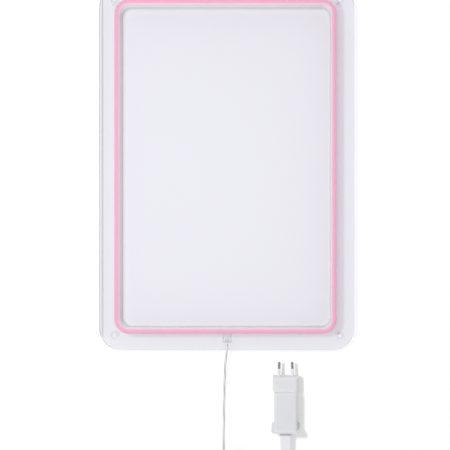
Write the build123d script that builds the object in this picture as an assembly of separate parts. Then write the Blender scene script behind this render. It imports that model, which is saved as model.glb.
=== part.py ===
from build123d import *
import math
import os

# Clear acrylic writing board with a ring of pink neon flex on its face, a clear cable box,
# a thin cord with a USB plug, and a mains adapter. Millimetres. Z is up, the origin lies on
# the surface below the middle of the board, and the board's long side runs along Y.

# Acrylic sheet
board_width = 350.0
board_height = 500.0
board_thickness = 5.0
board_corner = 30.0
board_edge_bevel = 0.5

# Holes near the corners, and the clear spacers behind them
hole_inset = 20.0
hole_diameter = 5.0
spacer_diameter = 11.0
spacer_height = 7.0
spacer_bevel = 0.4

# Neon flex, laid as a rounded rectangle
neon_inset = 30.0
neon_corner = 16.0
neon_width = 8.0
neon_height = 16.0
glue_thickness = 0.3
glue_margin = 0.7
jacket_wall = 1.0
jacket_floor = 1.6
jacket_foot_round = 0.5
dome_height = 3.6
dome_shoulder = 0.6
light_chamber = 2.6
seam_x = -7.0
seam_gap = 0.3

# Light strip inside the neon flex
tape_width = 5.0
tape_thickness = 0.3
chip_length = 3.5
chip_width = 2.8
chip_height = 0.8
chip_pitch = 16.7

# Clear cable box against the neon flex, and its gland
box_x = 1.5
box_width = 12.3
box_length = 13.0
box_height = 10.0
box_plate = 0.5
box_wall = 1.1
box_round = 1.5
box_gap = 0.2
gland_x = 0.9
gland_diameter = 4.8
gland_length = 11.0
gland_bevel = 0.6
gland_flange_diameter = 5.6
gland_flange_thickness = 1.5
gland_flange_gap = 0.4
gland_clearance = 0.1

# Two feed wires from the cord to the light strip
wire_diameter = 1.1
wire_spacing = 1.2
wire_landing = 0.6
wire_port_width = 3.4
wire_port_height = 1.8

# Cord. The points that it passes, between its straight ends, have their Y measured from the
# cable box's back, as the coil and the adapter have theirs.
cord_diameter = 3.0
cord_core_inset = 3.8
cord_straight = 10.5
cord_lead_points = [
    (-1.4, -24.8, 14.2),
    (-2.9, -42.3, 9.4),
    (-3.9, -60.8, 5.0),
    (-4.75, -80.8, 2.3),
    (-5.3, -105.8, 1.5),
    (-5.5, -141.8, 1.5),
]
cord_tail_points = [
    (31.5, -201.3, 12.3),
    (44.5, -200.2, 9.2),
    (57.0, -197.0, 6.9),
    (68.0, -190.8, 8.3),
    (76.6, -182.8, 12.2),
]
arc_share = 0.45

# Coil of the spare cord
coil_x = 16.4
coil_behind_box = 180.3
coil_radius = 21.9
coil_pitch = 3.6
coil_layers = 4
coil_layer_half_turns = 5
coil_last_half_turns = 4.5
coil_start_angle = 180.0
coil_samples = 14
coil_look_ahead = 4

# USB plug on the cord
usb_shell_width = 12.0
usb_shell_thickness = 4.5
usb_shell_wall = 0.3
usb_shell_reach = 11.75
usb_shell_root = 6.0
usb_shell_round = 0.5
usb_tongue_thickness = 1.7
usb_tongue_setback = 0.6
usb_tongue_clearance = 0.05
usb_contact_width = 1.0
usb_contact_thickness = 0.15
usb_contact_length = 7.4
usb_contact_pitch = 2.25
overmould_width = 14.7
overmould_thickness = 8.0
overmould_length = 27.0
overmould_tail_width = 14.0
overmould_tail_thickness = 7.0
overmould_round = 1.8
overmould_ring_length = 2.0
overmould_ring_step = 0.15
overmould_gap = 0.7
relief_length = 9.0
relief_start_diameter = 5.6
relief_end_diameter = 4.2

# Mains adapter, lying along Y with its pins towards the board
adapter_x = 80.7
adapter_z = 15.5
adapter_behind_box = 46.3
head_width = 35.3
head_thickness = 13.7
head_length = 19.0
head_corner = 5.0
head_nose_round = 4.5
spigot_width = 24.0
spigot_thickness = 10.0
spigot_length = 2.0
spigot_corner = 3.0
case_width = 31.0
case_thickness = 27.0
case_length = 50.5
case_corner = 4.0
case_wall = 2.0
case_front_round = 2.4
flange_width = 38.6
flange_thickness = 31.0
flange_corner = 5.0
flange_length = 1.8
flange_edge_round = 0.4
boss_root_width = 22.0
boss_root_thickness = 10.0
boss_root_corner = 3.0
boss_face_width = 17.0
boss_face_thickness = 9.0
boss_face_corner = 2.5
boss_length = 7.5

# Mains pins
pin_diameter = 4.0
pin_length = 19.0
pin_base_spacing = 18.6
pin_tip_spacing = 17.5
pin_bare_length = 9.0
pin_core_diameter = 2.6
pin_tip_round = 1.4
sleeve_root = 5.0
sleeve_root_diameter = 3.4
pin_root = 22.6

# Inside the adapter
circuit_margin = 0.3
circuit_thickness = 1.6
circuit_front_gap = 0.2
circuit_back_gap = 0.5
rail_width = 1.0
rail_height = 1.2
lead_diameter = 1.0
lead_setback = 0.8
bulk_capacitor_diameter = 8.0
bulk_capacitor_height = 12.0
bulk_capacitor_y = 13.0
output_capacitor_diameter = 6.3
output_capacitor_height = 9.0
output_capacitor_y = 40.0
capacitor_bevel = 0.4
core_width = 15.0
core_length = 7.0
core_height = 13.0
core_leg = 2.6
core_centre_leg = 4.4
winding_thickness = 2.0
winding_round = 0.8
winding_clearance = 0.1
transformer_y = 28.0

# USB port of the adapter
port_opening_width = 12.5
port_opening_thickness = 5.12
port_wall = 0.3
port_depth = 14.0
port_setback = 0.2
port_clearance = 0.1
port_tongue_width = 11.1
port_tongue_thickness = 1.7
port_tongue_length = 8.9
port_tongue_drop = 1.02
port_back_thickness = 1.4
port_contact_thickness = 0.15

cut_overrun = 2.0

board_bottom = spacer_height
board_top = board_bottom + board_thickness
neon_ring_width = board_width - 2 * neon_inset
neon_ring_height = board_height - 2 * neon_inset
jacket_height = neon_height - glue_thickness - dome_height
jacket_top = glue_thickness + jacket_height
channel_width = neon_width - 2 * jacket_wall
channel_floor = glue_thickness + jacket_floor
tape_top = channel_floor + tape_thickness
neon_outer_y = -neon_ring_height / 2 - neon_width / 2
box_front_y = neon_outer_y - box_gap
box_back_y = box_front_y - box_length
gland_z = board_top + box_plate + gland_clearance + gland_flange_diameter / 2
cord_core_y = box_back_y - cord_core_inset
coil_y = box_back_y - coil_behind_box
engagement_y = box_back_y - adapter_behind_box
head_back_y = engagement_y - head_length
case_back_y = head_back_y - case_length
flange_back_y = case_back_y - flange_length
boss_face_y = flange_back_y - boss_length
case_inner_width = case_width - 2 * case_wall
case_inner_thickness = case_thickness - 2 * case_wall
port_outer_width = port_opening_width + 2 * port_wall
port_outer_thickness = port_opening_thickness + 2 * port_wall
port_front_y = boss_face_y + port_setback
circuit_top = adapter_z - port_outer_thickness / 2
overmould_front_y = boss_face_y - overmould_gap
overmould_back_y = overmould_front_y - overmould_length
relief_back_y = overmould_back_y - relief_length


def save(name, shape):
    """Writes one piece, and says how many solids it has and its volume."""
    shape.label = name
    export_step(shape, f"parts/{name}.step")
    print(f"{name}: {len(shape.solids())} solid(s), {shape.volume:.2f} mm3")


def corner_places():
    """The four hole centres, in the board's plane."""
    x = board_width / 2 - hole_inset
    y = board_height / 2 - hole_inset
    return {
        "top_left": (-x, y),
        "top_right": (x, y),
        "bottom_left": (-x, -y),
        "bottom_right": (x, -y),
    }


# Board and spacers


def acrylic_board():
    sheet = extrude(RectangleRounded(board_width, board_height, board_corner), board_thickness)
    faces = sheet.faces().sort_by(Axis.Z)
    sheet = chamfer(faces[0].edges() + faces[-1].edges(), board_edge_bevel)
    for x, y in corner_places().values():
        sheet -= Pos(x, y, board_thickness / 2) * Cylinder(hole_diameter / 2, board_thickness + cut_overrun)
    return Pos(0, 0, board_bottom) * sheet


def corner_spacer(x, y):
    ring = Cylinder(spacer_diameter / 2, spacer_height) - Cylinder(hole_diameter / 2, spacer_height)
    outer = ring.edges().filter_by(GeomType.CIRCLE).sort_by(SortBy.RADIUS)[-2:]
    return Pos(x, y, spacer_height / 2) * chamfer(outer, spacer_bevel)


# Neon flex


def neon_line():
    """The middle line of the neon flex at board level, from one side of its seam round to the other."""
    x = neon_ring_width / 2
    y = neon_ring_height / 2
    corners = [(-x, -y), (-x, y), (x, y), (x, -y)]
    points = [(seam_x - seam_gap / 2, -y), *corners, (seam_x + seam_gap / 2, -y)]
    return Pos(0, 0, board_top) * FilletPolyline(*points, radius=neon_corner)


def along_neon(section):
    """Sweeps a section, drawn across the strip and up from the board, round the neon line."""
    line = neon_line()
    start = Plane(origin=line @ 0, x_dir=(0, -1, 0), z_dir=line % 0)
    return sweep(start * section, path=line)


def strip(width, bottom, top):
    """A rectangle across the neon flex, between two heights above the board."""
    return Pos(0, (bottom + top) / 2) * Rectangle(width, top - bottom)


def neon_adhesive():
    return along_neon(strip(neon_width - 2 * glue_margin, 0, glue_thickness))


def neon_jacket():
    section = strip(neon_width, glue_thickness, jacket_top)
    section = fillet(section.vertices().group_by(Axis.Y)[0], jacket_foot_round)
    section -= strip(channel_width, channel_floor, jacket_top + cut_overrun)
    port_bottom = board_top + tape_top
    port = Box(wire_port_width, jacket_wall + cut_overrun, wire_port_height)
    port_place = Pos(gland_x, neon_outer_y + jacket_wall / 2, port_bottom + wire_port_height / 2)
    return along_neon(section) - port_place * port


def neon_diffuser():
    half = neon_width / 2
    core = channel_width / 2
    shoulder = jacket_top + dome_shoulder
    sides = Polyline(
        (half, shoulder),
        (half, jacket_top),
        (core, jacket_top),
        (core, tape_top + light_chamber),
        (-core, tape_top + light_chamber),
        (-core, jacket_top),
        (-half, jacket_top),
        (-half, shoulder),
    )
    dome = ThreePointArc((-half, shoulder), (0, neon_height), (half, shoulder))
    return along_neon(make_face([*sides.edges(), dome]))


def led_tape():
    return along_neon(strip(tape_width, channel_floor, tape_top))


def led_chips():
    line = neon_line()
    count = round(line.length / chip_pitch)
    chip_z = tape_top + chip_height / 2
    chips = []
    for number in range(count):
        share = (number + 0.5) / count
        heading = line % share
        angle = math.degrees(math.atan2(heading.Y, heading.X))
        chip = Box(chip_length, chip_width, chip_height)
        chips.append(Pos(line @ share) * Rot(0, 0, angle) * Pos(0, 0, chip_z) * chip)
    return Compound(children=chips)


# Cable box, gland and feed wires


def exit_box_plate():
    outline = Rectangle(box_width, box_length)
    corners = outline.vertices().group_by(Axis.Y)[0]
    plate = extrude(fillet(corners, box_round), box_plate)
    return Pos(box_x, (box_front_y + box_back_y) / 2, board_top) * plate


def exit_box_hood():
    inner_height = box_height - box_plate
    outline = Rectangle(box_width, box_length)
    hood = extrude(fillet(outline.vertices().group_by(Axis.Y)[0], box_round), inner_height)
    top = hood.faces().sort_by(Axis.Z)[-1]
    hood = fillet(top.edges().sort_by(Axis.Y)[:-1], box_wall)
    room_height = inner_height - box_wall
    room = Box(box_width - 2 * box_wall, box_length - box_wall + cut_overrun, room_height)
    hood -= Pos(0, (box_wall + cut_overrun) / 2, room_height / 2) * room
    hood = Pos(box_x, (box_front_y + box_back_y) / 2, board_top + box_plate) * hood
    slot_radius = gland_diameter / 2 + gland_clearance
    wall_y = box_back_y + box_wall / 2
    slot = Pos(gland_x, wall_y, gland_z) * Rot(90, 0, 0) * Cylinder(slot_radius, box_wall + cut_overrun)
    below = Box(2 * slot_radius, box_wall + cut_overrun, gland_z - board_top)
    slot += Pos(gland_x, wall_y, (gland_z + board_top) / 2) * below
    return hood - slot


def cord_gland():
    bore = cord_diameter / 2 + gland_clearance
    inner_y = box_back_y + box_wall + gland_flange_gap / 2 + gland_flange_thickness
    outer_y = box_back_y - gland_length
    flange_end_y = inner_y - gland_flange_thickness
    body = tube_along_y(gland_diameter / 2, inner_y, outer_y)
    body = chamfer(body.edges().sort_by(Axis.Y)[0], gland_bevel)
    body += tube_along_y(gland_flange_diameter / 2, inner_y, flange_end_y)
    return body - tube_along_y(bore, inner_y + cut_overrun, outer_y - cut_overrun)


def tube_along_y(radius, front, back):
    """A solid cylinder on the gland's axis, from one Y to a lower one."""
    return Pos(gland_x, (front + back) / 2, gland_z) * Rot(90, 0, 0) * Cylinder(radius, front - back)


def feed_wires():
    end_y = -neon_ring_height / 2 - tape_width / 2 + wire_landing
    z = board_top + tape_top + wire_diameter / 2
    length = end_y - cord_core_y
    wires = []
    for side in (-1, 1):
        wire = Rot(90, 0, 0) * Cylinder(wire_diameter / 2, length)
        wires.append(Pos(gland_x + side * wire_spacing / 2, cord_core_y + length / 2, z) * wire)
    return Compound(children=wires)


# Cord


def route(name, points):
    """Straight runs joined by tangent arcs, each as large as its two runs allow."""
    places = [Vector(point) for point in points]
    radii = []
    for before, here, after in zip(places, places[1:], places[2:]):
        half_turn = math.radians((here - before).get_angle(after - here)) / 2
        shorter = min((here - before).length, (after - here).length)
        radii.append(arc_share * shorter / math.tan(half_turn))
    print(f"{name} radii:", ", ".join(f"{radius:.1f}" for radius in radii))
    return FilletPolyline(*places, radius=radii)


def behind_box(points):
    """Points whose Y is measured from the cable box's back, in the part's own frame."""
    return [(x, box_back_y + y, z) for x, y, z in points]


def lead_line(coil):
    """From inside the gland, down to the floor and on to the coil."""
    start = (gland_x, cord_core_y, gland_z)
    run_end = (gland_x, cord_core_y - cord_straight, gland_z)
    return route("cord_lead", [start, run_end, *behind_box(cord_lead_points), coil @ 0])


def tail_line(coil):
    """From the coil to the end of the USB plug's strain relief."""
    run_start = (adapter_x, relief_back_y - cord_straight, adapter_z)
    end = (adapter_x, relief_back_y, adapter_z)
    return route("cord_tail", [coil @ 1, *behind_box(cord_tail_points), run_start, end])


def cord_tube(name, line):
    """A round tube along a line, with its volume compared with section times length."""
    tube = sweep(Plane(origin=line @ 0, z_dir=line % 0) * Circle(cord_diameter / 2), path=line)
    expected = math.pi * (cord_diameter / 2) ** 2 * line.length
    print(f"{name}: {line.length:.1f} mm long, volume {tube.volume / expected:.4f} of section times length")
    return tube


def corner_arc(start, corner, end):
    """The arc between two points that is tangent there to the legs through their corner."""
    middle = (start + end) * 0.5
    half_chord = (end - start).length / 2
    rise = (corner - middle).length
    sagitta = half_chord * rise / (half_chord + math.hypot(half_chord, rise))
    return ThreePointArc(start, middle + (corner - middle).normalized() * sagitta, end)


def biarc(start, start_way, end, end_way):
    """Two tangent arcs from one point and direction to another."""
    chord = end - start
    along = chord.dot(start_way + end_way)
    turning = 2 * (1 - start_way.dot(end_way))
    leg = (math.sqrt(along ** 2 + turning * chord.dot(chord)) - along) / turning
    first_corner = start + start_way * leg
    last_corner = end - end_way * leg
    joint = (first_corner + last_corner) * 0.5
    return [corner_arc(start, first_corner, joint), corner_arc(joint, last_corner, end)]


def coil_stations():
    """Places and directions a half turn apart: in, up, out, up, in, up and out again."""
    slope = coil_pitch / (2 * math.pi)
    inner_radius = coil_radius - coil_layer_half_turns * coil_pitch / 2
    stations = []
    for layer in range(coil_layers):
        inward = layer % 2 == 0
        steps = list(range(coil_layer_half_turns + 1))
        if layer == coil_layers - 1:
            steps[-1] = coil_last_half_turns
        for step in steps:
            turned = layer * (coil_layer_half_turns + 1) + step
            angle = math.radians(coil_start_angle + 180 * turned)
            radius = coil_radius - step * coil_pitch / 2 if inward else inner_radius + step * coil_pitch / 2
            growth = -slope if inward else slope
            if turned == 0 or step == coil_last_half_turns:
                growth = 0
            out = Vector(math.cos(angle), math.sin(angle), 0)
            round_way = Vector(-math.sin(angle), math.cos(angle), 0)
            height = cord_diameter / 2 + layer * coil_pitch
            place = Vector(coil_x, coil_y, height) + out * radius
            stations.append((place, (round_way * radius + out * growth).normalized()))
    return stations


def coil_line():
    """The coil's middle line, straight for one cord diameter at each end."""
    stations = coil_stations()
    first, first_way = stations[0]
    last, last_way = stations[-1]
    edges = [Line(first - first_way * cord_diameter, first)]
    for (start, start_way), (end, end_way) in zip(stations, stations[1:]):
        edges += biarc(start, start_way, end, end_way)
    edges.append(Line(last, last + last_way * cord_diameter))
    print_coil_gap(edges)
    return Wire(edges)


def print_coil_gap(edges):
    """Prints the least gap between turns, measured on points along the middle line."""
    spots = []
    for number, edge in enumerate(edges):
        for sample in range(coil_samples):
            spots.append((number, edge @ (sample / coil_samples)))
    least = min(
        (here - there).length
        for index, (number, here) in enumerate(spots)
        for other, there in spots[index + 1:]
        if other - number >= coil_look_ahead - 1
    )
    print(f"coil's least gap to itself: {least - cord_diameter:.2f} mm")


# USB plug


def along(y):
    """A plane across the adapter's axis at one Y, facing away from the board, with Z up."""
    return Plane(origin=(adapter_x, y, adapter_z), x_dir=(1, 0, 0), z_dir=(0, -1, 0))


def block(width, thickness, corner, front, back):
    """A rounded bar along the adapter's axis, from one Y to a lower one."""
    return extrude(along(front) * RectangleRounded(width, thickness, corner), front - back)


def usb_shell():
    front = overmould_front_y + usb_shell_reach
    back = overmould_front_y - usb_shell_root
    outer = block(usb_shell_width, usb_shell_thickness, usb_shell_round, front, back)
    inner_width = usb_shell_width - 2 * usb_shell_wall
    inner_thickness = usb_shell_thickness - 2 * usb_shell_wall
    inner_round = usb_shell_round - usb_shell_wall / 2
    room = block(inner_width, inner_thickness, inner_round, front, overmould_front_y)
    return outer - room


def usb_tongue():
    width = usb_shell_width - 2 * usb_shell_wall
    front = overmould_front_y + usb_shell_reach - usb_tongue_setback
    height = usb_shell_thickness / 2 - usb_shell_wall - usb_tongue_clearance - usb_tongue_thickness / 2
    bar = Box(width - 2 * usb_shell_wall, front - overmould_front_y, usb_tongue_thickness)
    return Pos(adapter_x, (front + overmould_front_y) / 2, adapter_z + height) * bar


def usb_contacts():
    front = overmould_front_y + usb_shell_reach - 2 * usb_tongue_setback
    roof = adapter_z + usb_shell_thickness / 2 - usb_shell_wall
    top = roof - usb_tongue_clearance - usb_tongue_thickness
    z = top - usb_contact_thickness / 2
    return contact_row(front - usb_contact_length / 2, z, usb_contact_thickness)


def contact_row(y, z, thickness):
    strips = []
    for number in (-1.5, -0.5, 0.5, 1.5):
        place = Pos(adapter_x + number * usb_contact_pitch, y, z)
        strips.append(place * Box(usb_contact_width, usb_contact_length, thickness))
    return Compound(children=strips)


def usb_overmould():
    front = RectangleRounded(overmould_width, overmould_thickness, overmould_round)
    back = RectangleRounded(overmould_tail_width, overmould_tail_thickness, overmould_round)
    body = loft([along(overmould_front_y) * front, along(overmould_back_y) * back])
    body = fillet(body.faces().sort_by(Axis.Y)[0].edges(), overmould_round / 2)
    ring_back_y = overmould_front_y - overmould_ring_length
    body += block(
        overmould_width + 2 * overmould_ring_step,
        overmould_thickness + 2 * overmould_ring_step,
        overmould_round,
        overmould_front_y,
        ring_back_y,
    )
    root_back_y = overmould_front_y - usb_shell_root
    room = block(usb_shell_width, usb_shell_thickness, usb_shell_round, overmould_front_y, root_back_y)
    return body - room


def usb_strain_relief():
    start = along(overmould_back_y) * Circle(relief_start_diameter / 2)
    end = along(relief_back_y) * Circle(relief_end_diameter / 2)
    return loft([start, end])


# Adapter shells and pins


def pin_place(side):
    """A plane at one pin's root on the engagement face, its normal along the leaning pin."""
    base = side * pin_base_spacing / 2
    lean = side * (pin_tip_spacing - pin_base_spacing) / 2
    return Plane(
        origin=(adapter_x + base, engagement_y, adapter_z),
        x_dir=(0, 0, 1),
        z_dir=Vector(lean, pin_length, 0).normalized(),
    )


def rod(radius, bottom, top):
    return Pos(0, 0, (bottom + top) / 2) * Cylinder(radius, top - bottom)


def mains_pin(side):
    sleeve_end = pin_length - pin_bare_length
    tip = rod(pin_diameter / 2, sleeve_end, pin_length)
    tip = fillet(tip.edges().sort_by(Axis.Z)[-1], pin_tip_round)
    return pin_place(side) * (tip + rod(pin_core_diameter / 2, -pin_root, sleeve_end))


def pin_sleeve(side):
    sleeve_end = pin_length - pin_bare_length
    sleeve = rod(pin_diameter / 2, 0, sleeve_end) + rod(sleeve_root_diameter / 2, -sleeve_root, 0)
    return pin_place(side) * (sleeve - rod(pin_core_diameter / 2, -sleeve_root, sleeve_end))


def adapter_plug_head():
    """A flat block whose nose, on the pins' side, is rounded above and below."""
    head = block(head_width, head_thickness, head_corner, engagement_y, head_back_y)
    nose = Box(head_width, head_length, head_thickness)
    nose = fillet(nose.edges().filter_by(Axis.X).group_by(Axis.Y)[-1], head_nose_round)
    head &= Pos(adapter_x, (engagement_y + head_back_y) / 2, adapter_z) * nose
    head += block(spigot_width, spigot_thickness, spigot_corner, head_back_y, head_back_y - spigot_length)
    for side in (-1, 1):
        head -= mains_pin(side)
        head -= pin_sleeve(side)
    return head


def adapter_case():
    case = block(case_width, case_thickness, case_corner, head_back_y, case_back_y)
    case = fillet(case.faces().sort_by(Axis.Y)[-1].edges(), case_front_round)
    inner_corner = case_corner - case_wall
    room_front_y = head_back_y - case_wall
    room_back_y = case_back_y - cut_overrun
    case -= block(case_inner_width, case_inner_thickness, inner_corner, room_front_y, room_back_y)
    case -= block(spigot_width, spigot_thickness, spigot_corner, head_back_y + cut_overrun, room_front_y)
    rail_y = (room_front_y + case_back_y) / 2
    rail_z = circuit_top - circuit_thickness - rail_height / 2
    for side in (-1, 1):
        rail = Box(rail_width, room_front_y - case_back_y, rail_height)
        case += Pos(adapter_x + side * (case_inner_width - rail_width) / 2, rail_y, rail_z) * rail
    return case


def adapter_end_cap():
    """The flange that closes the case, with the tapering boss round its port."""
    cap = block(flange_width, flange_thickness, flange_corner, case_back_y, flange_back_y)
    cap = fillet(cap.faces().sort_by(Axis.Y)[0].edges(), flange_edge_round)
    root = along(flange_back_y) * RectangleRounded(boss_root_width, boss_root_thickness, boss_root_corner)
    face = along(boss_face_y) * RectangleRounded(boss_face_width, boss_face_thickness, boss_face_corner)
    cap += loft([root, face])
    mouth_width = port_outer_width + 2 * port_clearance
    mouth_thickness = port_outer_thickness + 2 * port_clearance
    mouth_front_y = case_back_y + cut_overrun
    mouth_back_y = boss_face_y - cut_overrun
    return cap - block(mouth_width, mouth_thickness, usb_shell_round, mouth_front_y, mouth_back_y)


# Inside the adapter


def on_circuit(y, shape, height):
    """Stands a piece of a given height on the circuit board, a distance behind the case's front."""
    return Pos(adapter_x, head_back_y - y, circuit_top + height / 2) * shape


def adapter_circuit_board():
    front_y = head_back_y - spigot_length - circuit_front_gap
    back_y = case_back_y + circuit_back_gap
    sheet = Box(case_inner_width - 2 * circuit_margin, front_y - back_y, circuit_thickness)
    return Pos(adapter_x, (front_y + back_y) / 2, circuit_top - circuit_thickness / 2) * sheet


def mains_leads():
    """Two short uprights that join the pins' inner ends to the circuit board."""
    leads = []
    for side in (-1, 1):
        plane = pin_place(side)
        end = plane.origin - plane.z_dir * (pin_root - lead_setback)
        top = adapter_z - pin_core_diameter / 2
        upright = Cylinder(lead_diameter / 2, top - circuit_top + lead_diameter / 2)
        upright = Pos(end.X, end.Y, (top + circuit_top + lead_diameter / 2) / 2) * upright
        leads.append(upright - mains_pin(side))
    return Compound(children=leads)


def filter_capacitors():
    cans = []
    for diameter, height, y in (
        (bulk_capacitor_diameter, bulk_capacitor_height, bulk_capacitor_y),
        (output_capacitor_diameter, output_capacitor_height, output_capacitor_y),
    ):
        can = Cylinder(diameter / 2, height)
        can = chamfer(can.edges().sort_by(Axis.Z)[-1], capacitor_bevel)
        cans.append(on_circuit(y, can, height))
    return Compound(children=cans)


def transformer_core():
    body = Box(core_width, core_length, core_height)
    window = (core_width - 2 * core_leg - core_centre_leg) / 2
    for side in (-1, 1):
        x = side * (core_centre_leg + window) / 2
        body -= Pos(x, 0, 0) * Box(window, core_length + cut_overrun, core_height - 2 * core_leg)
    return on_circuit(transformer_y, body, core_height)


def transformer_winding():
    hole_width = core_centre_leg + 2 * winding_clearance
    height = core_height - 2 * core_leg - 2 * winding_clearance
    outer_width = hole_width + 2 * winding_thickness
    outer_length = core_length + 2 * winding_thickness
    wound = extrude(RectangleRounded(outer_width, outer_length, winding_round), height / 2, both=True)
    wound -= Box(hole_width, core_length + 2 * winding_clearance, height + cut_overrun)
    return on_circuit(transformer_y, wound, core_height)


def usb_port_shell():
    back = port_front_y + port_depth
    outer = block(port_outer_width, port_outer_thickness, usb_shell_round, back, port_front_y)
    room = block(
        port_opening_width,
        port_opening_thickness,
        usb_shell_round - port_wall / 2,
        back + cut_overrun,
        port_front_y - cut_overrun,
    )
    return outer - room


def usb_port_tongue():
    """The port's insulator: a back wall that fills the shell, and the tongue that stands out of it."""
    back = port_front_y + port_depth
    wall_front = back - port_back_thickness
    wall = Pos(adapter_x, (back + wall_front) / 2, adapter_z) * Box(
        port_opening_width - port_wall, port_back_thickness, port_opening_thickness - port_wall
    )
    tongue_front = wall_front - port_tongue_length
    tongue = Box(port_tongue_width, port_tongue_length, port_tongue_thickness)
    return wall + Pos(adapter_x, (wall_front + tongue_front) / 2, adapter_z - port_tongue_drop) * tongue


def usb_port_contacts():
    front = port_front_y + port_depth - port_back_thickness
    top = adapter_z - port_tongue_drop + port_tongue_thickness / 2
    z = top + port_contact_thickness / 2
    return contact_row(front - usb_contact_length / 2, z, port_contact_thickness)


os.makedirs("parts", exist_ok=True)

save("acrylic_board", acrylic_board())
for corner, (x, y) in corner_places().items():
    save(f"corner_spacer_{corner}", corner_spacer(x, y))

save("neon_adhesive", neon_adhesive())
save("neon_jacket", neon_jacket())
save("neon_diffuser", neon_diffuser())
save("led_tape", led_tape())
save("led_chips", led_chips())

save("exit_box_plate", exit_box_plate())
save("exit_box_hood", exit_box_hood())
save("cord_gland", cord_gland())
save("feed_wires", feed_wires())

spare_coil = coil_line()
save("cord_lead", cord_tube("cord_lead", lead_line(spare_coil)))
save("cord_coil", cord_tube("cord_coil", spare_coil))
save("cord_tail", cord_tube("cord_tail", tail_line(spare_coil)))

save("usb_shell", usb_shell())
save("usb_tongue", usb_tongue())
save("usb_contacts", usb_contacts())
save("usb_overmould", usb_overmould())
save("usb_strain_relief", usb_strain_relief())

save("adapter_plug_head", adapter_plug_head())
save("adapter_case", adapter_case())
save("adapter_end_cap", adapter_end_cap())
for name, side in (("left", -1), ("right", 1)):
    save(f"mains_pin_{name}", mains_pin(side))
    save(f"pin_sleeve_{name}", pin_sleeve(side))
save("adapter_circuit_board", adapter_circuit_board())
save("mains_leads", mains_leads())
save("filter_capacitors", filter_capacitors())
save("transformer_core", transformer_core())
save("transformer_winding", transformer_winding())
save("usb_port_shell", usb_port_shell())
save("usb_port_tongue", usb_port_tongue())
save("usb_port_contacts", usb_port_contacts())
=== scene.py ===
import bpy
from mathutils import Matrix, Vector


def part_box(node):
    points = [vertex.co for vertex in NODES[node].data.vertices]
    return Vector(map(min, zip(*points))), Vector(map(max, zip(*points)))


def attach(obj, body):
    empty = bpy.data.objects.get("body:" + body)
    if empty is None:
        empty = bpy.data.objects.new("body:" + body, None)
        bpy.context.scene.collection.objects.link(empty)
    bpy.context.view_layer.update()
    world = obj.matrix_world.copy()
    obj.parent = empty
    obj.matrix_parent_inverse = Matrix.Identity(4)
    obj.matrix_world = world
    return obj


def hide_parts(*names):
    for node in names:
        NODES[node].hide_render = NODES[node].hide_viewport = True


bl_info = {
    "name": "Neon writing board",
    "version": (1, 0, 0),
    "blender": (4, 5, 0),
    "location": "3D View > Sidebar > Writing Board",
    "description": "Finishes, cord and stage for a clear writing board with a pink neon ring",
    "category": "Object",
}

import math

import bpy

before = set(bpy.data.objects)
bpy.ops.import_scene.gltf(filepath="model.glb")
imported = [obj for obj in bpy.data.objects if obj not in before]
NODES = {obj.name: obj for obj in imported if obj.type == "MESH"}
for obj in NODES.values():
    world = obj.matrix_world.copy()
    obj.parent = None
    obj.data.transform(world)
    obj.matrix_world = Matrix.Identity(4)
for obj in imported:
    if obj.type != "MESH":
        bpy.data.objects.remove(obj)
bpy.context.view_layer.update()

# Camera: straight above the table, to the right of the board's middle and a little below it.
CAMERA_PLACE = (0.0728, -0.0741, 0.592)
CAMERA_LENS = 33.9
CAMERA_SENSOR = 36.0
CAMERA_SHIFT = (-0.122, -0.007)
CAMERA_NEAREST = 0.01

# Floor: half its width, how far it lies below the spacers' feet, and the distances from the
# middle between which its own light grows.
FLOOR_REACH = 8.0
FLOOR_DROP = 0.0003
FLOOR_FADE = (0.4, 1.4)

# Room: the heights between which what gloss reflects turns greyer, 1 being straight above.
ROOM_FADE = (0.45, 0.95)

# The cord's route, as in the part's source: its free points have Y measured from the cable
# box's back, between a straight run out of the gland and one into the plug.
CORD_DIAMETER = 0.003
GLAND_X = 0.0009
GLAND_Z = 0.0154
CORD_CORE_INSET = 0.0038
CORD_STRAIGHT = 0.0105
CORD_LEAD_POINTS = [
    (-0.0014, -0.0248, 0.0142),
    (-0.0029, -0.0423, 0.0094),
    (-0.0039, -0.0608, 0.0050),
    (-0.00475, -0.0808, 0.0023),
    (-0.0053, -0.1058, 0.0015),
    (-0.0055, -0.1418, 0.0015),
]
CORD_TAIL_POINTS = [
    (0.0315, -0.2013, 0.0123),
    (0.0445, -0.2002, 0.0092),
    (0.0570, -0.1970, 0.0069),
    (0.0680, -0.1908, 0.0083),
    (0.0766, -0.1828, 0.0122),
]
CORD_LENGTH = 1.48
PLUG_X = 0.0807
PLUG_Z = 0.0155

# The coil of spare cord: four layers, wound in, up, out and up again.
COIL_X = 0.0164
COIL_BEHIND_BOX = 0.1803
COIL_RADIUS = 0.0219
COIL_PITCH = 0.0036
COIL_LAYERS = 4
COIL_LAYER_HALF_TURNS = 5
COIL_HALF_TURNS = 22.5
COIL_START_ANGLE = 180.0
COIL_POINTS_PER_HALF_TURN = 8
COIL_CLIMB_BULGE = 0.16

# The strain relief: its radii at the plug and at its end, and one rib with its groove, in shares
# of the rib's length and of the groove's depth. The last rib ends without a groove.
RELIEF_LENGTH = 0.009
RELIEF_START_RADIUS = 0.0028
RELIEF_END_RADIUS = 0.0021
RIB_OUTLINE = ((0.08, 0.0), (0.55, 0.0), (0.62, 1.0), (0.86, 1.0), (0.93, 0.0))
LAST_RIB_END = 0.6
RIB_ROUNDING = 0.00012
TURNED_SIDES = 40

# Where a look starts and ends its change, in shares of the piece's own box: up the sheet, across
# it at its left edge, across the ring at its left side, and up the jacket.
# Below this change, the sheet's lower bevels take painted shade.
BEVEL_CHANGE = (0.4, 0.6)
LEFT_LINE_START = (0.0032, 0.0038)
LEFT_LINE_END = (0.0066, 0.0072)
RING_LEFT_CHANGE = (0.03, 0.06)
# Between these two changes, up the jacket's sides, runs a band of painted shade.
SHADE_BAND_START = (0.24, 0.3)
SHADE_BAND_END = (0.52, 0.58)

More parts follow.
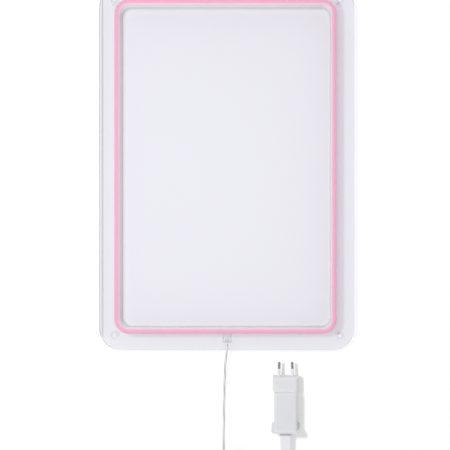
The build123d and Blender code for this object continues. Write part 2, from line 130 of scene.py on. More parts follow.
# The same by how far a surface faces up, 1 being level.
FACE_CHANGE = (0.8, 0.98)
CROWN_CHANGE = (0.5, 0.97)
TOP_LEAST = 0.9

# Clear pieces: how often a ray may bounce before it passes straight on, and the gap that keeps
# two touching ones apart.
DEEPEST_BOUNCE = 3
DEEPEST_SHEET_BOUNCE = 2
HAIR_GAP = 0.00002

# Depths of the bumps in the pieces' surfaces.
GRAIN_DEPTH = 0.00004
SPECKLE_DEPTH = 0.00003
LINE_DEPTH = 0.00002
WAVE_DEPTH = 0.001
STRAND_DEPTH = 0.0001

# Sockets of a Mix node: its share, its two numbers and their result, its two colours and theirs.
MIX_SHARE = 0
MIX_NUMBERS = (2, 3)
MIX_NUMBER = 0
MIX_COLOURS = (6, 7)
MIX_COLOUR = 2


# Node trees


def add(tree, kind, place=(0, 0), **values):
    """A new node. Values named after a socket set that socket, and others set a property."""
    node = tree.nodes.new(kind)
    node.location = place
    for name, value in values.items():
        socket = node.inputs.get(name.replace("_", " "))
        if socket is None:
            setattr(node, name, value)
        else:
            socket.default_value = value
    return node


def join(tree, source, target):
    """Links an output to an input."""
    tree.links.new(source, target)


def feed(tree, value, socket):
    """Links the socket to an output, or sets it to a plain value."""
    if isinstance(value, bpy.types.NodeSocket):
        join(tree, value, socket)
    else:
        socket.default_value = value


def feed_colour(tree, colour, socket):
    """Links the socket to an output, or sets it to a plain colour."""
    plain = not isinstance(colour, bpy.types.NodeSocket)
    feed(tree, (*colour, 1.0) if plain else colour, socket)


def calculate(tree, place, operation, *sides, clamp=False):
    """The result of a Math node on outputs or numbers."""
    node = add(tree, "ShaderNodeMath", place, operation=operation, use_clamp=clamp)
    for side, socket in zip(sides, node.inputs):
        feed(tree, side, socket)
    return node.outputs[0]


def ramp(tree, place, value, limits, results=(0.0, 1.0), smooth=False):
    """Goes from the first result to the second while the value goes from limit to limit."""
    kind = "SMOOTHSTEP" if smooth else "LINEAR"
    turn = add(tree, "ShaderNodeMapRange", place, interpolation_type=kind)
    for end, label in zip((*limits, *results), ("From Min", "From Max", "To Min", "To Max")):
        feed(tree, end, turn.inputs[label])
    join(tree, value, turn.inputs["Value"])
    return turn.outputs["Result"]


def mix_colours(tree, place, first, second, share):
    """The first colour where share is 0 and the second where it is 1."""
    mix = add(tree, "ShaderNodeMix", place, data_type="RGBA")
    for colour, number in zip((first, second), MIX_COLOURS):
        feed_colour(tree, colour, mix.inputs[number])
    join(tree, share, mix.inputs[MIX_SHARE])
    return mix.outputs[MIX_COLOUR]


def start_group(name, inputs, outputs):
    """A shader node group with its named inputs and outputs. Returns it and its two end nodes."""
    group = bpy.data.node_groups.new(name, "ShaderNodeTree")
    for label, kind, default in inputs:
        socket = group.interface.new_socket(label, in_out="INPUT", socket_type=kind)
        socket.default_value = default
    for label, kind in outputs:
        group.interface.new_socket(label, in_out="OUTPUT", socket_type=kind)
    return group, add(group, "NodeGroupInput", (-900, 0)), add(group, "NodeGroupOutput", (700, 0))


def place_group(tree, group, place, **values):
    """A group's node. Values are named after its inputs."""
    node = add(tree, "ShaderNodeGroup", place)
    node.node_tree = group
    for name, value in values.items():
        feed(tree, value, node.inputs[name.replace("_", " ")])
    return node


def satin_skin():
    """Moulded skin: a fine grain for the bump, and gloss that drifts slowly over the surface."""
    name = "Satin Skin"
    if name in bpy.data.node_groups:
        return bpy.data.node_groups[name]
    group, start, end = start_group(
        name,
        [
            ("Grain Scale", "NodeSocketFloat", 3000.0),
            ("Roughness", "NodeSocketFloat", 0.4),
            ("Roughness Drift", "NodeSocketFloat", 0.05),
        ],
        [("Height", "NodeSocketFloat"), ("Roughness", "NodeSocketFloat")],
    )
    where = add(group, "ShaderNodeTexCoord", (-900, 300))
    grain = add(group, "ShaderNodeTexNoise", (-500, 300), Detail=3.0, Roughness=0.55)
    join(group, where.outputs["Object"], grain.inputs["Vector"])
    join(group, start.outputs["Grain Scale"], grain.inputs["Scale"])
    drift = add(group, "ShaderNodeTexNoise", (-500, -100), Scale=60.0, Detail=4.0)
    join(group, where.outputs["Object"], drift.inputs["Vector"])
    centred = calculate(group, (-250, -100), "SUBTRACT", drift.outputs["Fac"], 0.5)
    scaled = calculate(group, (0, -100), "MULTIPLY", centred, start.outputs["Roughness Drift"])
    total = calculate(group, (250, -100), "ADD", start.outputs["Roughness"], scaled, clamp=True)
    join(group, grain.outputs["Fac"], end.inputs["Height"])
    join(group, total, end.inputs["Roughness"])
    return group


def colour_drift():
    """A colour that turns a little darker and lighter over the surface, as moulded plastic does."""
    name = "Colour Drift"
    if name in bpy.data.node_groups:
        return bpy.data.node_groups[name]
    group, start, end = start_group(
        name,
        [
            ("Colour", "NodeSocketColor", (0.8, 0.8, 0.8, 1.0)),
            ("Drift", "NodeSocketFloat", 0.04),
            ("Scale", "NodeSocketFloat", 40.0),
        ],
        [("Colour", "NodeSocketColor")],
    )
    where = add(group, "ShaderNodeTexCoord", (-900, 300))
    noise = add(group, "ShaderNodeTexNoise", (-600, 300), Detail=2.0)
    join(group, where.outputs["Object"], noise.inputs["Vector"])
    join(group, start.outputs["Scale"], noise.inputs["Scale"])
    depth = calculate(
        group, (-300, 200), "MULTIPLY", noise.outputs["Fac"], start.outputs["Drift"]
    )
    level = calculate(group, (0, 200), "SUBTRACT", 1.0, depth)
    shade = add(group, "ShaderNodeHueSaturation", (300, 0))
    join(group, start.outputs["Colour"], shade.inputs["Color"])
    join(group, level, shade.inputs["Value"])
    join(group, shade.outputs["Color"], end.inputs["Colour"])
    return group


def fine_lines():
    """Fine parallel lines, such as drawing marks in metal. The mask is sharper with contrast."""
    name = "Fine Lines"
    if name in bpy.data.node_groups:
        return bpy.data.node_groups[name]
    group, start, end = start_group(
        name,
        [
            ("Line Scale", "NodeSocketVector", (400.0, 20.0, 400.0)),
            ("Contrast", "NodeSocketFloat", 0.5),
        ],
        [("Height", "NodeSocketFloat"), ("Mask", "NodeSocketFloat")],
    )
    where = add(group, "ShaderNodeTexCoord", (-900, 300))
    stretched = add(group, "ShaderNodeVectorMath", (-650, 300), operation="MULTIPLY")
    join(group, where.outputs["Object"], stretched.inputs[0])
    join(group, start.outputs["Line Scale"], stretched.inputs[1])
    noise = add(group, "ShaderNodeTexNoise", (-400, 300), Scale=1.0, Detail=4.0)
    join(group, stretched.outputs[0], noise.inputs["Vector"])
    low = calculate(group, (-150, 0), "MULTIPLY_ADD", start.outputs["Contrast"], -0.25, 0.5)
    mask = ramp(group, (150, 200), noise.outputs["Fac"], (low, 0.75))
    join(group, noise.outputs["Fac"], end.inputs["Height"])
    join(group, mask, end.inputs["Mask"])
    return group


def facing_up(tree, place):
    """How far the surface faces up: 1 on a level face, 0 on a wall and -1 underneath."""
    facing = add(tree, "ShaderNodeNewGeometry", place)
    split = add(tree, "ShaderNodeSeparateXYZ", (place[0] + 200, place[1]))
    join(tree, facing.outputs["Normal"], split.inputs[0])
    return split.outputs["Z"]


def face_share(tree, place):
    """1 on level faces, above or underneath, and 0 on walls, rounds and bevels."""
    upward = facing_up(tree, place)
    level = calculate(tree, (place[0] + 400, place[1]), "ABSOLUTE", upward)
    return ramp(tree, (place[0] + 600, place[1]), level, FACE_CHANGE)


def span_share(tree, place, axis, limits):
    """0 below the limits and 1 above them, along one axis of the piece's own box."""
    where = add(tree, "ShaderNodeTexCoord", place)
    split = add(tree, "ShaderNodeSeparateXYZ", (place[0] + 200, place[1]))
    join(tree, where.outputs["Generated"], split.inputs[0])
    return ramp(tree, (place[0] + 400, place[1]), split.outputs[axis], limits)


def band_share(tree, place, axis, start, end):
    """1 in a band along one axis of the piece's own box, and 0 beside it."""
    inside = span_share(tree, place, axis, start)
    beyond = span_share(tree, (place[0], place[1] - 300), axis, end)
    return calculate(tree, (place[0] + 600, place[1]), "SUBTRACT", inside, beyond, clamp=True)


def seen_rays(tree, place):
    """1 for camera, glossy and transmission rays, 0 for the rest."""
    path = add(tree, "ShaderNodeLightPath", place)
    camera, glossy = path.outputs["Is Camera Ray"], path.outputs["Is Glossy Ray"]
    pair = calculate(tree, (place[0] + 200, place[1]), "MAXIMUM", camera, glossy)
    through = path.outputs["Is Transmission Ray"]
    return calculate(tree, (place[0] + 400, place[1]), "MAXIMUM", pair, through)


def unseen_rays(tree, place, deepest=None):
    """1 for rays that carry light to other surfaces, and for those that bounced beyond deepest."""
    path = add(tree, "ShaderNodeLightPath", place)
    shadow, diffuse = path.outputs["Is Shadow Ray"], path.outputs["Is Diffuse Ray"]
    unseen = calculate(tree, (place[0] + 200, place[1]), "MAXIMUM", shadow, diffuse)
    if deepest is None:
        return unseen
    depth = path.outputs["Ray Depth"]
    trapped = calculate(tree, (place[0] + 200, place[1] - 200), "GREATER_THAN", depth, deepest)
    return calculate(tree, (place[0] + 400, place[1]), "MAXIMUM", unseen, trapped)


# Materials


def start_material(name):
    """An empty material, its tree, and its output node."""
    material = bpy.data.materials.new(name)
    material.use_nodes = True
    tree = material.node_tree
    tree.nodes.clear()
    return material, tree, add(tree, "ShaderNodeOutputMaterial", (900, 0))


def raise_bump(tree, height, strength, distance, surface):
    """A Bump node from a height to a shader's normal."""
    bump = add(tree, "ShaderNodeBump", (250, -400), Strength=strength, Distance=distance)
    join(tree, height, bump.inputs["Height"])
    join(tree, bump.outputs["Normal"], surface.inputs["Normal"])


def give_colour(tree, surface, colour, drift, scale=40.0):
    """A shader's colour, with a drift in it."""
    tone = place_group(tree, colour_drift(), (0, 200), Drift=drift, Scale=scale)
    tone.name = "Tone"
    feed_colour(tree, colour, tone.inputs["Colour"])
    join(tree, tone.outputs["Colour"], surface.inputs["Base Color"])


def give_skin(tree, surface, roughness, grain_scale, bump, depth=GRAIN_DEPTH, drift=0.05):
    """A shader's gloss and grain."""
    skin = place_group(
        tree, satin_skin(), (0, -200),
        Grain_Scale=grain_scale, Roughness=roughness, Roughness_Drift=drift,
    )
    join(tree, skin.outputs["Roughness"], surface.inputs["Roughness"])
    raise_bump(tree, skin.outputs["Height"], bump, depth, surface)


def scatter(surface, weight, radius, scale):
    """Spreads light under a shader's surface. The radius has each colour's share of the scale."""
    surface.inputs["Subsurface Weight"].default_value = weight
    surface.inputs["Subsurface Radius"].default_value = radius
    surface.inputs["Subsurface Scale"].default_value = scale


def show_either(tree, surface, through, rays):
    """The surface for most rays, and what lets light through for the given ones."""
    either = add(tree, "ShaderNodeMixShader", (750, 0))
    join(tree, rays, either.inputs["Fac"])
    join(tree, surface.outputs[0], either.inputs[1])
    join(tree, through.outputs[0], either.inputs[2])
    return either.outputs[0]


def let_through(tree, surface, passed, left=None):
    """Lets part of the light for other surfaces through, and another part at the left side."""
    through = add(tree, "ShaderNodeBsdfTransparent", (550, -300), Color=(*passed, 1.0))
    if left is not None:
        share = span_share(tree, (-300, -800), "X", RING_LEFT_CHANGE)
        join(tree, mix_colours(tree, (350, -700), left, passed, share), through.inputs["Color"])
    return show_either(tree, surface, through, unseen_rays(tree, (300, 500)))


def moulded_plastic(
    name, colour, roughness, grain_scale=2600.0, bump=0.12, drift=0.03,
    glow=0.0, passed=None, left=None,
):
    """Moulded plastic or rubber with a satin skin. With glow, light spreads under it."""
    material, tree, end = start_material(name)
    surface = add(tree, "ShaderNodeBsdfPrincipled", (500, 0))
    if glow:
        scatter(surface, glow, (1.0, 0.95, 0.95), 0.0015)
    give_colour(tree, surface, colour, drift)
    give_skin(tree, surface, roughness, grain_scale, bump)
    closure = surface.outputs[0]
    if passed is not None:
        closure = let_through(tree, surface, passed, left)
    join(tree, closure, end.inputs["Surface"])
    return material


def clear_plastic(name, colour, passed, roughness, index=1.49, deepest=DEEPEST_BOUNCE):
    """Clear plastic that bends what is behind it, and lets lamps and floor light through."""
    material, tree, end = start_material(name)
    glass = add(tree, "ShaderNodeBsdfPrincipled", (500, 100), name="Glass", IOR=index)
    glass.inputs["Transmission Weight"].default_value = 1.0
    give_colour(tree, glass, colour, 0.01, scale=15.0)
    give_skin(tree, glass, roughness, 25.0, 0.02, depth=WAVE_DEPTH, drift=roughness)
    through = add(tree, "ShaderNodeBsdfTransparent", (550, -300), name="Through")
    feed_colour(tree, passed, through.inputs["Color"])
    closure = show_either(tree, glass, through, unseen_rays(tree, (100, 500), deepest))
    join(tree, closure, end.inputs["Surface"])
    return material


def sheet_plastic(settings):
    """Clear acrylic with painted shade on its lower bevels; its left edge throws a thin line of
    shade.
    """
    colour, passed = settings.acrylic_colour, settings.acrylic_passed
    material = clear_plastic(
        "polished_acrylic", colour, passed, 0.01, deepest=DEEPEST_SHEET_BOUNCE
    )
    tree = material.node_tree
    flat = face_share(tree, (-1300, -400))
    upper = span_share(tree, (-1300, 600), "Z", BEVEL_CHANGE)
    # Painted shade: the lower bevels are greyed so that the sheet's edges look darker.
    edge = mix_colours(tree, (-700, 500), settings.bevel_painted_shade, colour, upper)
    tint_and_bevel_shade = mix_colours(tree, (-500, 400), edge, colour, flat)
    join(tree, tint_and_bevel_shade, tree.nodes["Glass"].inputs["Base Color"])
    line = band_share(tree, (-1300, -700), "X", LEFT_LINE_START, LEFT_LINE_END)
    shade = mix_colours(tree, (-500, -500), settings.edge_passed, passed, flat)
    shade = mix_colours(tree, (-300, -600), shade, settings.left_line_passed, line)
    join(tree, shade, tree.nodes["Through"].inputs["Color"])
    return material


def drawn_metal(name, colour, roughness, line_scale):
    """Plated or drawn metal with fine lines one way."""
    material, tree, end = start_material(name)
    surface = add(tree, "ShaderNodeBsdfPrincipled", (500, 0))
    surface.inputs["Metallic"].default_value = 1.0
    give_colour(tree, surface, colour, 0.08, scale=300.0)
    lines = place_group(tree, fine_lines(), (-250, -300), Line_Scale=line_scale)
    gloss = (roughness * 0.75, roughness * 1.25)
    uneven = ramp(tree, (0, -100), lines.outputs["Mask"], (0.0, 1.0), gloss)
    join(tree, uneven, surface.inputs["Roughness"])
    raise_bump(tree, lines.outputs["Height"], 0.08, LINE_DEPTH, surface)
    join(tree, surface.outputs[0], end.inputs["Surface"])
    return material


def two_sided_colour(name, top, side, roughness):
    """One colour where the surface faces up and another elsewhere, with speckle in both."""
    material, tree, end = start_material(name)
    surface = add(tree, "ShaderNodeBsdfPrincipled", (500, 0))
    upward = facing_up(tree, (-700, 200))
    on_top = calculate(tree, (-300, 200), "GREATER_THAN", upward, TOP_LEAST)
    colour = mix_colours(tree, (-150, 200), side, top, on_top)
    give_colour(tree, surface, colour, 0.1, scale=900.0)
    give_skin(tree, surface, roughness, 2700.0, 0.15, depth=SPECKLE_DEPTH)
    join(tree, surface.outputs[0], end.inputs["Surface"])
    return material


def part_from_touching(*nodes):
    """Draws clear nodes in by a hair, so that light tells their faces from those they touch."""
    for name in nodes:
        hair = NODES[name].modifiers.new("Hair gap", "DISPLACE")
        hair.strength = -HAIR_GAP
        hair.mid_level = 0.0


def free_of_shadow(*nodes):
    """Lets light for other surfaces pass small nodes inside or under clear ones."""
    for name in nodes:
        NODES[name].visible_shadow = False
        NODES[name].visible_diffuse = False


def dress(material, *nodes):
    """Gives CAD nodes a material in all their slots."""
    for name in nodes:
        node = NODES[name]
        if not node.material_slots:
            node.data.materials.append(material)
        for slot in node.material_slots:
            slot.material = material


# Settings


def colour_setting(name, description, default):
    """A colour that the user can change."""
    return bpy.props.FloatVectorProperty(
        name=name, description=description, default=default,
        size=3, min=0.0, max=1.0, subtype="COLOR",
    )


def level_setting(name, description, default):
    """A level from 0 to 1."""
    return bpy.props.FloatProperty(
        name=name, description=description, default=default, min=0.0, max=1.0, subtype="FACTOR"
    )


def length_setting(name, description, default):
    """A length in metres."""
    return bpy.props.FloatProperty(
        name=name, description=description, default=default, min=0.0, unit="LENGTH", precision=5
    )


class StageSettings(bpy.types.PropertyGroup):
    floor_colour: colour_setting("Floor", "Colour of the floor in the light", (0.85, 0.85, 0.85))
    floor_glow: level_setting("Floor glow", "Light that the floor adds for the camera", 0.25)
    far_glow: level_setting("Far glow", "Light that the floor adds far from the board", 0.6)
    fill_level: level_setting("Fill", "Level of the light from all round", 0.54)
    zenith_level: level_setting("Zenith", "Level of what gloss reflects from straight above", 0.35)
    key_level: level_setting("Key", "Level of the lamp's light straight below it", 0.48)
    key_radius: length_setting("Key radius", "Radius of the lamp, which softens shadows", 0.037)
    key_place: bpy.props.FloatVectorProperty(
        name="Key place", description="Where the lamp hangs", default=(-0.115, -0.01, 0.53),
        size=3, unit="LENGTH", subtype="TRANSLATION",
    )


class CordSettings(bpy.types.PropertyGroup):
    sheath_colour: colour_setting("Sheath", "Colour between the cord's cores", (0.84, 0.84, 0.84))
    core_colour: colour_setting("Cores", "Colour over the cord's cores", (0.6, 0.6, 0.61))
    passed: colour_setting("Passed light", "Light that the sheath lets through", (0.87, 0.87, 0.88))
    twist_length: length_setting("Twist", "Length of one turn of the cores", 0.022)


class PlugSettings(bpy.types.PropertyGroup):
    overmould_colour: colour_setting("Body", "Colour of the plug's plastic", (0.92, 0.92, 0.94))
    shell_colour: colour_setting("Shell", "Colour of the plug's steel", (0.55, 0.55, 0.57))
    tongue_colour: colour_setting("Tongue", "Colour of the plug's insulator", (0.85, 0.85, 0.84))
    rib_count: bpy.props.IntProperty(
        name="Ribs", description="Ribs on the strain relief", default=4, min=1, max=8
    )
    rib_depth: length_setting("Rib depth", "Depth of the grooves between the ribs", 0.00045)


class BoardSettings(bpy.types.PropertyGroup):
    acrylic_colour: colour_setting("Acrylic", "Tint of the clear sheet", (0.905, 0.9, 0.935))
    acrylic_passed: colour_setting("Sheet's light", "Light it lets through", (0.93, 0.93, 0.95))
    # Painted shade that greys the sheet's lower bevels.
    bevel_painted_shade: colour_setting("Bevels", "Tint of the sheet's lower bevels", (0.8, 0.8, 0.82))
    edge_passed: colour_setting("Edges' light", "Light they let through", (0.85, 0.85, 0.86))
    left_line_passed: colour_setting("Left line", "The same at its left edge", (0.0, 0.0, 0.0))
    spacer_colour: colour_setting("Spacers", "Tint of the clear spacers", (0.97, 0.97, 0.98))
    spacer_passed: colour_setting("Spacers' light", "Light they let through", (0.97, 0.97, 0.98))


class NeonSettings(bpy.types.PropertyGroup):
    crown_colour: colour_setting("Crown", "Colour along the flex's top", (0.97, 0.47, 0.66))
    edge_colour: colour_setting("Edge", "Colour at the dome's edges", (0.93, 0.77, 0.85))
    passed: colour_setting("Passed light", "Light that the flex lets through", (0.88, 0.81, 0.85))
    left_passed: colour_setting("Passed, left", "The same at the left side", (0.99, 0.98, 0.99))
    jacket_colour: colour_setting("Jacket", "Colour of the silicone sides", (0.97, 0.96, 0.98))
    # Painted shade in a band low on the jacket's sides.
    side_shade_colour: colour_setting("Groove", "Colour of the sides' groove", (0.8, 0.79, 0.81))
    glue_colour: colour_setting("Glue", "Tint of the clear glue", (0.97, 0.97, 0.97))
    glue_passed: colour_setting("Glue's light", "Light that it lets through", (0.95, 0.95, 0.95))


class StripSettings(bpy.types.PropertyGroup):
    tape_colour: colour_setting("Tape", "Colour of the light strip", (0.82, 0.82, 0.79))
    phosphor_colour: colour_setting("Phosphor", "Colour of the chips' tops", (0.8, 0.62, 0.12))
    chip_colour: colour_setting("Chips", "Colour of the chips' sides", (0.85, 0.85, 0.83))


class BoxSettings(bpy.types.PropertyGroup):
    box_colour: colour_setting("Cable box", "Tint of the clear box", (0.99, 0.99, 1.0))
    box_passed: colour_setting("Box's light", "Light that it lets through", (0.97, 0.97, 0.98))
    gland_colour: colour_setting("Gland", "Tint of the soft sleeve", (0.98, 0.98, 0.99))
    gland_passed: colour_setting("Gland's light", "Light that it lets through", (0.9, 0.9, 0.91))
    wire_colour: colour_setting("Wires", "Colour of the feed wires", (0.93, 0.93, 0.94))


class AdapterSettings(bpy.types.PropertyGroup):
    shell_colour: colour_setting("Shells", "Colour of the moulded shells", (0.81, 0.815, 0.84))
    sleeve_colour: colour_setting("Pin sleeves", "Colour of the pins' sleeves", (0.86, 0.86, 0.87))
    pin_colour: colour_setting("Pins", "Colour of the plated pins", (0.47, 0.47, 0.48))


class InsideSettings(bpy.types.PropertyGroup):
    circuit_colour: colour_setting("Circuit board", "Colour of the solder mask", (0.02, 0.2, 0.08))
    contact_colour: colour_setting("Contacts", "Colour of the plated contacts", (0.85, 0.65, 0.3))
    lead_colour: colour_setting("Leads", "Colour of the tinned leads", (0.68, 0.68, 0.67))
    can_colour: colour_setting("Capacitors", "Colour of the cans' tops", (0.6, 0.6, 0.62))
    wrap_colour: colour_setting("Wraps", "Colour of the cans' sleeves", (0.02, 0.02, 0.03))
    ferrite_colour: colour_setting("Ferrite", "Colour of the core", (0.04, 0.04, 0.045))
    tape_colour: colour_setting("Winding tape", "Colour of the winding's tape", (0.8, 0.6, 0.08))
    port_colour: colour_setting("Port", "Colour of the port's steel", (0.7, 0.7, 0.72))
    tongue_colour: colour_setting("Port's tongue", "Colour of its insulator", (0.82, 0.82, 0.8))


SETTINGS = {
    "board_stage": StageSettings,
    "board_cord": CordSettings,
    "board_plug": PlugSettings,
    "board_sheet": BoardSettings,
    "board_neon": NeonSettings,
    "board_strip": StripSettings,
    "board_box": BoxSettings,
    "board_adapter": AdapterSettings,
    "board_inside": InsideSettings,
}


# Stage


def aim_camera(context):
    """The camera of the photograph."""
    data = bpy.data.cameras.new("Camera")
    data.lens = CAMERA_LENS
    data.sensor_width = CAMERA_SENSOR
    data.shift_x, data.shift_y = CAMERA_SHIFT
    data.clip_start = CAMERA_NEAREST
    camera = bpy.data.objects.new("Camera", data)
    camera.location = CAMERA_PLACE
    context.collection.objects.link(camera)
    context.scene.camera = camera


def lay_floor(context, settings):
    """A wide pale floor, white to the camera where the lamp reaches it."""
    mesh = bpy.data.meshes.new("floor")
    corners = [
        (x * FLOOR_REACH, y * FLOOR_REACH, -FLOOR_DROP)
        for x, y in ((-1, -1), (1, -1), (1, 1), (-1, 1))
    ]
    mesh.from_pydata(corners, [], [(0, 1, 2, 3)])
    floor = bpy.data.objects.new("floor", mesh)
    context.collection.objects.link(floor)
    material, tree, end = start_material("floor_paper")
    paper = add(tree, "ShaderNodeBsdfDiffuse", (0, 100), Color=(*settings.floor_colour, 1.0))
    glow = add(tree, "ShaderNodeEmission", (0, -100))
    where = add(tree, "ShaderNodeTexCoord", (-1000, -400))
    away = add(tree, "ShaderNodeVectorMath", (-800, -400), operation="LENGTH")
    join(tree, where.outputs["Object"], away.inputs[0])
    glows = (settings.floor_glow, settings.far_glow)
    spread = ramp(tree, (-600, -400), away.outputs["Value"], FLOOR_FADE, glows, smooth=True)
    level = calculate(tree, (-200, -100), "MULTIPLY", seen_rays(tree, (-800, -100)), spread)
    join(tree, level, glow.inputs["Strength"])
    both = add(tree, "ShaderNodeAddShader", (300, 0))
    join(tree, paper.outputs[0], both.inputs[0])
    join(tree, glow.outputs[0], both.inputs[1])
    join(tree, both.outputs[0], end.inputs["Surface"])
    mesh.materials.append(material)


def light_room(context, settings):
    """Plain fill from all round, and a room for gloss that is white low down and greyer above."""
    world = bpy.data.worlds.new("Room")
    world.use_nodes = True
    tree = world.node_tree
    tree.nodes.clear()
    end = add(tree, "ShaderNodeOutputWorld", (900, 0))
    light = add(tree, "ShaderNodeBackground", (700, 0), Color=(1.0, 1.0, 1.0, 1.0))
    where = add(tree, "ShaderNodeTexCoord", (-600, 200))
    split = add(tree, "ShaderNodeSeparateXYZ", (-400, 200))
    join(tree, where.outputs["Generated"], split.inputs[0])
    levels = (1.0, settings.zenith_level)
    room = ramp(tree, (-100, 200), split.outputs["Z"], ROOM_FADE, levels, smooth=True)
    level = add(tree, "ShaderNodeMix", (300, 0), data_type="FLOAT")
    join(tree, seen_rays(tree, (-600, -200)), level.inputs[MIX_SHARE])
    for number, strength in zip(MIX_NUMBERS, (settings.fill_level, room)):
        feed(tree, strength, level.inputs[number])
    join(tree, level.outputs[MIX_NUMBER], light.inputs["Strength"])
    join(tree, light.outputs[0], end.inputs["Surface"])
    context.scene.world = world


def hang_lamp(context, settings):
    """A soft lamp over the board, left of its middle. Its light doesn't fall off with distance."""
    data = bpy.data.lights.new("Key", "POINT")
    data.energy = settings.key_level * 4 * math.pi ** 2
    data.shadow_soft_size = settings.key_radius
    data.use_nodes = True
    tree = data.node_tree
    light = tree.nodes["Emission"]
    even = add(tree, "ShaderNodeLightFalloff", (-200, 0), Strength=1.0)
    join(tree, even.outputs["Constant"], light.inputs["Strength"])
    lamp = bpy.data.objects.new("Key", data)
    lamp.location = settings.key_place
    lamp.visible_camera = False
    lamp.visible_glossy = False
    lamp.visible_transmission = False
    context.collection.objects.link(lamp)


class WRITINGBOARD_OT_stage(bpy.types.Operator):
    """Sets the camera, the floor, the room and the lamp"""

    bl_idname = "writing_board.set_stage"
    bl_label = "Stage"

    def execute(self, context):
        settings = context.scene.board_stage
        context.scene.view_settings.view_transform = "Standard"
        aim_camera(context)
        lay_floor(context, settings)
        light_room(context, settings)
        hang_lamp(context, settings)
        return {"FINISHED"}


# Cord


def coil_points(box_back):
    """Points round the coil, on a polygon whose sides touch its turns as the spline does."""
    inner = COIL_RADIUS - COIL_LAYER_HALF_TURNS * COIL_PITCH / 2
    half_step = 0.5 / COIL_POINTS_PER_HALF_TURN
    outward = 1 / math.cos(math.pi * half_step)
    points = []
    for number in range(int(COIL_HALF_TURNS * COIL_POINTS_PER_HALF_TURN)):
        turned = (number + 0.5) / COIL_POINTS_PER_HALF_TURN
        layer, step = divmod(turned, COIL_LAYER_HALF_TURNS + 1)
        climbed = max(0.0, step - COIL_LAYER_HALF_TURNS)
        run = min(step, COIL_LAYER_HALF_TURNS)
        bulge = COIL_CLIMB_BULGE * COIL_PITCH * math.sin(math.pi * climbed)
        if layer % 2 == 0:
            radius = COIL_RADIUS - run * COIL_PITCH / 2 - bulge
        else:
            radius = inner + run * COIL_PITCH / 2 + bulge
        smooth_climb = climbed * climbed * (3 - 2 * climbed)
        height = CORD_DIAMETER / 2 + (layer + smooth_climb) * COIL_PITCH
        angle = math.radians(COIL_START_ANGLE + 180 * turned)
        x = COIL_X + radius * outward * math.cos(angle)
        y = box_back - COIL_BEHIND_BOX + radius * outward * math.sin(angle)
        points.append((x, y, height))
    return points


def cord_points():
    """The whole route: out of the gland, over the floor, round the coil, and up to the plug."""
    box_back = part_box("exit_box_hood")[0].y
    relief_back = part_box("usb_strain_relief")[0].y
    start_y = box_back - CORD_CORE_INSET
    coil_y = box_back - COIL_BEHIND_BOX
    coil_end_radius = COIL_RADIUS - COIL_PITCH / 4
    coil_end_z = CORD_DIAMETER / 2 + (COIL_LAYERS - 1) * COIL_PITCH
    points = [(GLAND_X, start_y, GLAND_Z), (GLAND_X, start_y - CORD_STRAIGHT, GLAND_Z)]
    points += [(x, box_back + y, z) for x, y, z in CORD_LEAD_POINTS]
    points.append((COIL_X - COIL_RADIUS, coil_y + CORD_DIAMETER, CORD_DIAMETER / 2))
    points += coil_points(box_back)
    points.append((COIL_X + CORD_DIAMETER, coil_y - coil_end_radius, coil_end_z))
    points += [(x, box_back + y, z) for x, y, z in CORD_TAIL_POINTS]
    points.append((PLUG_X, relief_back - CORD_STRAIGHT, PLUG_Z))
    points.append((PLUG_X, relief_back + CORD_DIAMETER / 4, PLUG_Z))
    return points


def cord_sheath(settings):
    """Soft clear sheath over two twisted cores, which show through as a slow darker spiral."""
    material, tree, end = start_material("clear_cord_sheath")
    surface = add(tree, "ShaderNodeBsdfPrincipled", (500, 0), Roughness=0.32)
    surface.inputs["Coat Weight"].default_value = 0.3
    surface.inputs["Coat Roughness"].default_value = 0.15
    scatter(surface, 0.25, (1.0, 1.0, 1.0), 0.0012)
    where = add(tree, "ShaderNodeUVMap", (-1100, 0))
    split = add(tree, "ShaderNodeSeparateXYZ", (-900, 0))
    join(tree, where.outputs[0], split.inputs[0])
    turns = CORD_LENGTH / settings.twist_length
    along = calculate(tree, (-700, 100), "MULTIPLY", split.outputs["X"], turns)
    phase = calculate(tree, (-500, 0), "ADD", along, split.outputs["Y"])
    angle = calculate(tree, (-300, 0), "MULTIPLY", phase, 4 * math.pi)
    wave = calculate(tree, (-100, 0), "COSINE", angle)
    cores = ramp(tree, (100, 0), wave, (-0.7, 0.8), smooth=True)
    colour = mix_colours(tree, (300, 200), settings.sheath_colour, settings.core_colour, cores)
    join(tree, colour, surface.inputs["Base Color"])
    raise_bump(tree, wave, 0.15, STRAND_DEPTH, surface)
    join(tree, let_through(tree, surface, settings.passed), end.inputs["Surface"])
    return material


class WRITINGBOARD_OT_cord(bpy.types.Operator):
    """Lays the cord from the cable box to the plug, with its spare length in a coil"""

    bl_idname = "writing_board.lay_cord"
    bl_label = "Cord"

    def execute(self, context):
        points = cord_points()
        curve = bpy.data.curves.new("usb_lead", "CURVE")
        curve.dimensions = "3D"
        spline = curve.splines.new("NURBS")
        spline.points.add(len(points) - 1)
        for point, place in zip(spline.points, points):
            point.co = (*place, 1.0)
        spline.order_u = 3
        spline.use_endpoint_u = True
        spline.resolution_u = 6
        curve.bevel_depth = CORD_DIAMETER / 2
        curve.bevel_resolution = 5
        curve.use_fill_caps = True
        cord = bpy.data.objects.new("usb_lead", curve)
        context.collection.objects.link(cord)
        curve.materials.append(cord_sheath(context.scene.board_cord))
        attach(cord, "board")
        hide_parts("cord_lead", "cord_coil", "cord_tail")
        return {"FINISHED"}


# USB plug


def relief_rings(settings):
    """(distance from the plug, radius) down the strain relief, with a groove after each rib."""
    rings = [(0.0, RELIEF_START_RADIUS)]
    rib = RELIEF_LENGTH / settings.rib_count
    for number in range(settings.rib_count):
        for share, depth in RIB_OUTLINE:
            if number == settings.rib_count - 1 and share > LAST_RIB_END:
                continue
            place = (number + share) * rib
            narrowing = (RELIEF_END_RADIUS - RELIEF_START_RADIUS) * place / RELIEF_LENGTH
            rings.append((place, RELIEF_START_RADIUS + narrowing - depth * settings.rib_depth))
    rings.append((RELIEF_LENGTH, RELIEF_END_RADIUS))
    return rings


